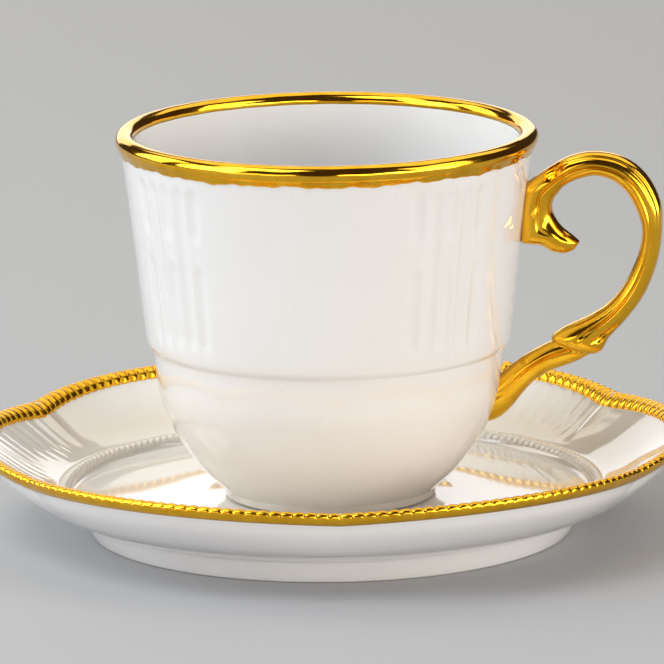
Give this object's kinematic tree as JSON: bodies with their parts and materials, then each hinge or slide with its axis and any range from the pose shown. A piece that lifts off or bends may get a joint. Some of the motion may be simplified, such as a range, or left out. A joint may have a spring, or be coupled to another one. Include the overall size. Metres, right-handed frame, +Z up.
{
  "type": "teacup",
  "caption": "Tall porcelain teacup with a scroll handle, standing on a lobed saucer, with a gilded lip, handle and saucer edge.",
  "frame": {"origin": "on the table, under the middle of the saucer's foot ring, which is also under the middle of the cup", "axes": "+Z up; +X from the middle of the cup towards its handle"},
  "size_m": [0.1502, 0.1486, 0.085],
  "materials": {
    "porcelain": "warm white bone porcelain under a clear glossy glaze",
    "gilding": "burnished bright gold, mirror smooth"
  },
  "bodies": {
    "saucer": {"saucer_body": "porcelain", "saucer_edge_gilding": "gilding"},
    "cup": {"cup_bowl": "porcelain", "cup_lip_gilding": "gilding", "cup_handle": "gilding"}
  },
  "joints": [
    {"name": "cup_lift", "type": "slide", "parent": "saucer", "child": "cup", "axis": [0, 0, 1], "range_m": [0, 0.1]}
  ]
}
